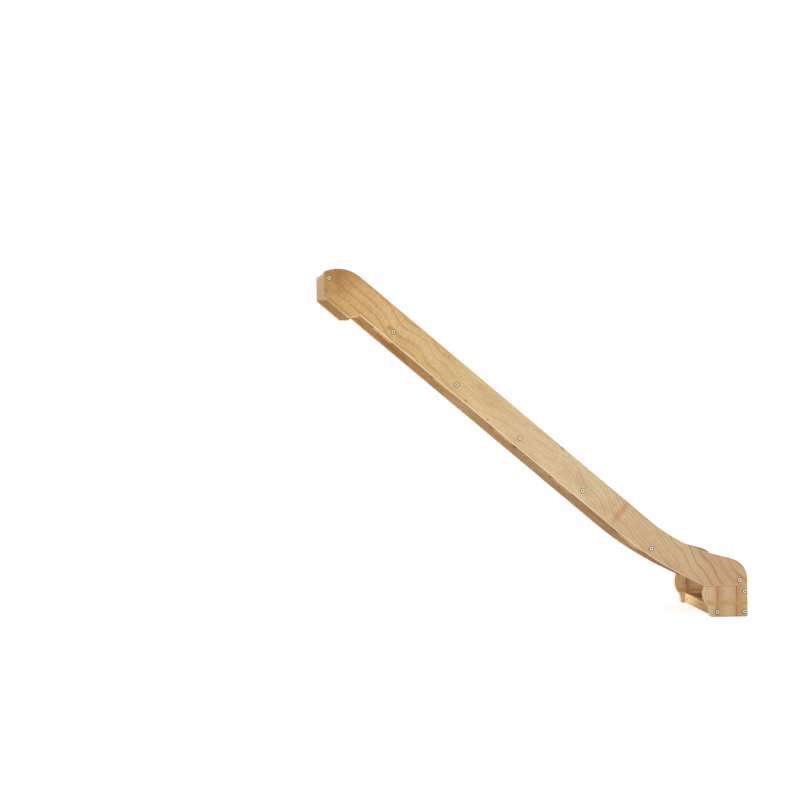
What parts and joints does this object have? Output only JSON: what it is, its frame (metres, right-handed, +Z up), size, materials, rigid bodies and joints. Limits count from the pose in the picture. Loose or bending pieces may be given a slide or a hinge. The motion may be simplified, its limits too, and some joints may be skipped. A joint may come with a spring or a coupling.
{
  "type": "toddler slide",
  "caption": "Straight wooden slide with raised side boards that hangs on a raised bed's side rail and stands on a foot under its exit.",
  "frame": {"origin": "middle of the slide's length and width, on the floor", "axes": "+X runs downhill from the bed rail to the exit, +Y is the left hand of a child who faces downhill, +Z is up"},
  "size_m": [1.625, 0.4104, 1.3334],
  "materials": {
    "side_wood": "clear satin lacquer on solid birch or maple, with wavy pink-brown growth lines along the slope",
    "bed_wood": "clear satin lacquer on bent birch plywood, smooth on top, with its layers showing on the edges",
    "rail_wood": "clear satin lacquer on straight-grained solid birch",
    "foot_wood": "clear satin lacquer on upright glued staves of solid birch",
    "dowel_wood": "raw beech",
    "bolt_metal": "satin nickel plate",
    "cam_metal": "dull cast zinc",
    "screw_metal": "bright zinc plate"
  },
  "bodies": {
    "root": {"side_board_right": "side_wood", "side_board_left": "side_wood", "slide_bed": "bed_wood", "batten_1": "rail_wood", "batten_2": "rail_wood", "batten_3": "rail_wood", "batten_4": "rail_wood", "batten_5": "rail_wood", "exit_batten": "rail_wood", "hanger_board": "rail_wood", "foot_panel_right": "foot_wood", "foot_panel_left": "foot_wood", "foot_riser": "rail_wood", "foot_stretcher": "rail_wood", "batten_bolts": "bolt_metal", "hanger_side_bolts": "bolt_metal", "exit_bolts": "bolt_metal", "riser_bolts": "bolt_metal", "stretcher_bolts": "bolt_metal", "batten_barrel_nuts": "bolt_metal", "hanger_barrel_nuts": "bolt_metal", "exit_barrel_nuts": "bolt_metal", "riser_barrel_nuts": "bolt_metal", "stretcher_barrel_nuts": "bolt_metal", "cam_locks": "cam_metal", "cam_dowels": "screw_metal", "wooden_dowels": "dowel_wood", "bed_screws": "screw_metal"}
  },
  "joints": []
}
